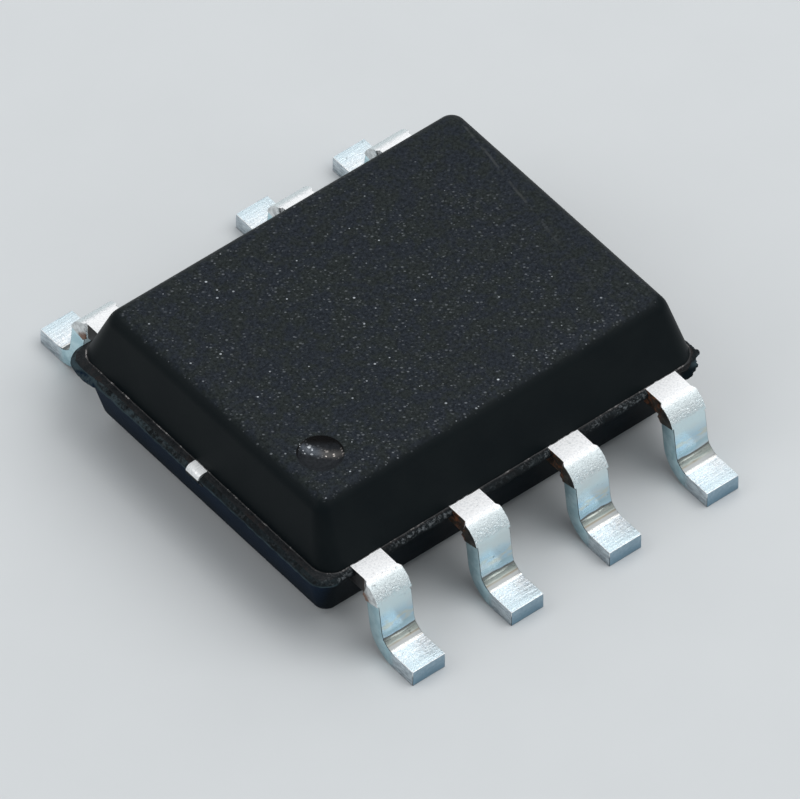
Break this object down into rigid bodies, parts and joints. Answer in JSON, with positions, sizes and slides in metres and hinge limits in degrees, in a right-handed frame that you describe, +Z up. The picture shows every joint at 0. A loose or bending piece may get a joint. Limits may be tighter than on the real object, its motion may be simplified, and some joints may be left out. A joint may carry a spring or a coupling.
{
  "type": "small-outline chip package",
  "caption": "Small-outline surface-mount chip: black moulded body with a position dimple, tinned gull-wing leads on the two long sides, one lead position left empty.",
  "frame": {"origin": "middle of the two lead rows on the seating plane, under the feet", "axes": "+X along the lead rows from position 1 to position 4, +Y from the row 1-4 to the row 8-5, +Z up out of the top face"},
  "size_m": [0.005, 0.006, 0.0016],
  "materials": {
    "mould_compound": "fine eroded-mould texture with filler glints on top, smooth sides",
    "tinned_lead": "satin electroplated tin, burnished at the bends",
    "copper_alloy": "stamped copper alloy, tinned where the bar was cut",
    "silver_adhesive": "cured silver-filled adhesive",
    "silicon": "polished silicon",
    "bond_wire": "drawn gold wire"
  },
  "bodies": {
    "root": {"mould_body": "mould_compound", "lead_1": "tinned_lead", "lead_2": "tinned_lead", "lead_3": "tinned_lead", "lead_4": "tinned_lead", "lead_5": "tinned_lead", "lead_6": "tinned_lead", "lead_8": "tinned_lead", "die_paddle": "copper_alloy", "die_attach": "silver_adhesive", "die": "silicon", "bond_wire_1": "bond_wire", "bond_wire_2": "bond_wire", "bond_wire_3": "bond_wire", "bond_wire_4": "bond_wire", "bond_wire_5": "bond_wire", "bond_wire_6": "bond_wire", "bond_wire_8": "bond_wire"}
  },
  "joints": []
}
